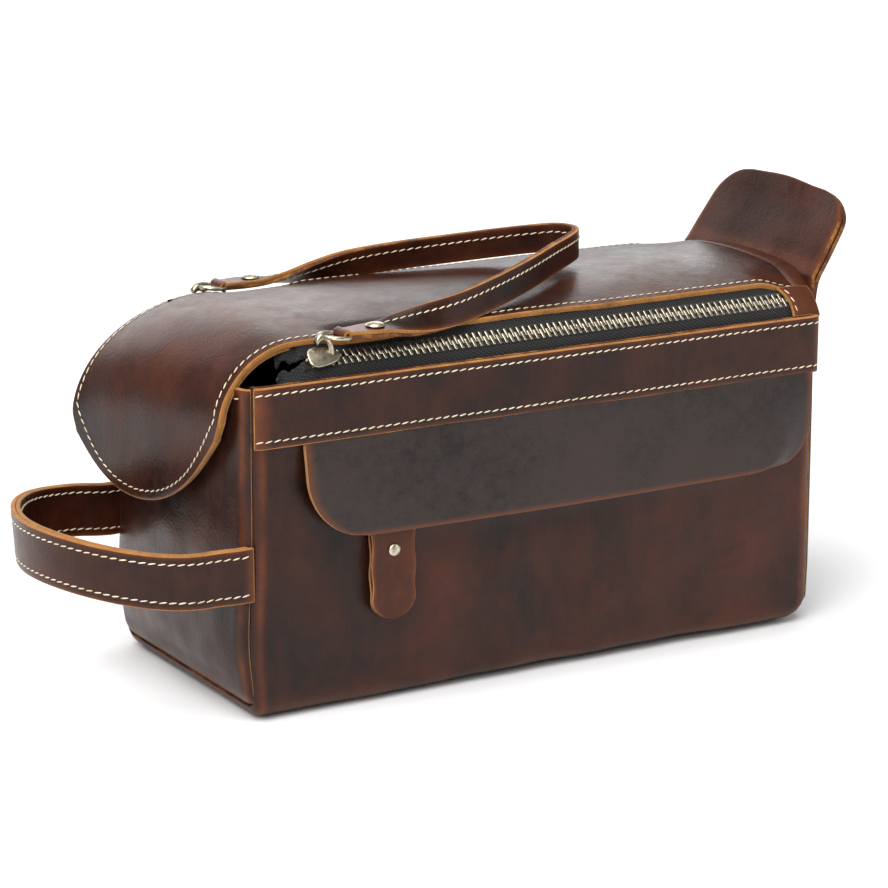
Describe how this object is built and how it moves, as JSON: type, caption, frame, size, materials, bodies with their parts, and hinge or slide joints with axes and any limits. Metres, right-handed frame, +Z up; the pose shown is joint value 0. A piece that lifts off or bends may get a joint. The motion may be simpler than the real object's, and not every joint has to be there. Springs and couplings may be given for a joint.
{
  "type": "leather wash bag",
  "caption": "Box shaped leather wash bag with a lid zipped along both long sides, a side carry loop, a pull ear and a flapped zip pocket on the front.",
  "frame": {"origin": "centre of the body's base, on the ground", "axes": "+X along the bag towards the ear, +Y from the pocket side to the back, +Z up"},
  "size_m": [0.3722, 0.1318, 0.1831],
  "materials": {
    "bag_leather": "dark mahogany oiled leather, satin, lighter where it is folded",
    "flap_leather": "greyish brown oiled leather with a fine pebble, satin",
    "suede_leather": "rough reddish brown leather, matt",
    "raw_leather": "uncoated ochre flesh side, fuzzy and matt",
    "brass_hardware": "pale antique brass, worn",
    "zip_tape": "black woven zip tape",
    "lining_cloth": "black woven lining",
    "fibre_board": "grey brown pressed fibre board, out of sight"
  },
  "bodies": {
    "bag": {"bottom_panel": "bag_leather", "front_panel": "bag_leather", "back_panel": "bag_leather", "left_end_panel": "bag_leather", "right_end_panel": "bag_leather", "front_band": "bag_leather", "back_band": "bag_leather", "main_lining": "lining_cloth", "base_board": "fibre_board", "front_body_zip_tape": "zip_tape", "rear_body_zip_tape": "zip_tape", "front_body_zip_teeth": "brass_hardware", "rear_body_zip_teeth": "brass_hardware", "zip_end_patches": "suede_leather", "zip_end_stops": "brass_hardware", "hinge_riser": "bag_leather", "ear_root": "suede_leather", "handle_seam_tabs": "bag_leather", "pocket_lining": "lining_cloth", "pocket_zip_tape": "zip_tape", "pocket_zip_teeth": "brass_hardware"},
    "lid": {"lid_panel": "bag_leather", "lid_lining": "lining_cloth", "front_lid_zip_tape": "zip_tape", "rear_lid_zip_tape": "zip_tape", "front_lid_zip_teeth": "brass_hardware", "rear_lid_zip_teeth": "brass_hardware"},
    "tongue": {"lid_tongue": "bag_leather", "tongue_lining": "raw_leather"},
    "front_slider": {"front_slider_body": "brass_hardware"},
    "rear_slider": {"rear_slider_body": "brass_hardware"},
    "strap": {"pull_strap": "bag_leather", "strap_rivets": "brass_hardware", "front_ring": "brass_hardware", "rear_ring": "brass_hardware"},
    "handle": {"handle_outer_layer": "bag_leather", "handle_inner_layer": "raw_leather"},
    "ear": {"ear_inner_layer": "bag_leather", "ear_core": "raw_leather", "ear_outer_layer": "bag_leather"},
    "flap": {"pocket_flap": "flap_leather"},
    "pocket_slider": {"pocket_slider_body": "brass_hardware"},
    "pull_tab": {"pocket_pull_link": "brass_hardware", "pocket_pull_tab": "suede_leather", "tab_rivet": "brass_hardware"}
  },
  "joints": [
    {"name": "lid_hinge", "type": "hinge", "parent": "bag", "child": "lid", "pos_m": [0.131, 0, 0.1475], "axis": [0, 1, 0], "range_deg": [0, 100]},
    {"name": "tongue_fold", "type": "hinge", "parent": "lid", "child": "tongue", "pos_m": [-0.118, 0, 0.1526], "axis": [0, 1, 0], "range_deg": [0, 80]},
    {"name": "front_slider_run", "type": "slide", "parent": "lid", "child": "front_slider", "axis": [1, 0, 0], "range_m": [0, 0.21]},
    {"name": "rear_slider_run", "type": "slide", "parent": "lid", "child": "rear_slider", "axis": [1, 0, 0], "range_m": [0, 0.21]},
    {"name": "strap_swing", "type": "hinge", "parent": "front_slider", "child": "strap", "pos_m": [-0.0985, 0, 0.1502], "axis": [0, -1, 0], "range_deg": [0, 150]},
    {"name": "ear_fold", "type": "hinge", "parent": "bag", "child": "ear", "pos_m": [0.1434, 0, 0.147], "axis": [0, 1, 0], "range_deg": [0, 140]},
    {"name": "carry_loop_tilt", "type": "hinge", "parent": "bag", "child": "handle", "pos_m": [-0.136, 0, 0.06], "axis": [0, 1, 0], "range_deg": [-20, 20]},
    {"name": "flap_lift", "type": "hinge", "parent": "bag", "child": "flap", "pos_m": [0, -0.0632, 0.1097], "axis": [-1, 0, 0], "range_deg": [0, 110]},
    {"name": "pocket_slider_run", "type": "slide", "parent": "bag", "child": "pocket_slider", "axis": [1, 0, 0], "range_m": [0, 0.175]},
    {"name": "pull_tab_swing", "type": "hinge", "parent": "pocket_slider", "child": "pull_tab", "pos_m": [-0.073, -0.0632, 0.0792], "axis": [0, 1, 0], "range_deg": [-35, 35]}
  ],
  "couplings": [
    {"joint": "rear_slider_run", "follows": "front_slider_run", "ratio": 1},
    {"joint": "strap_swing", "follows": "front_slider_run", "rad_per_m": 12.4}
  ]
}
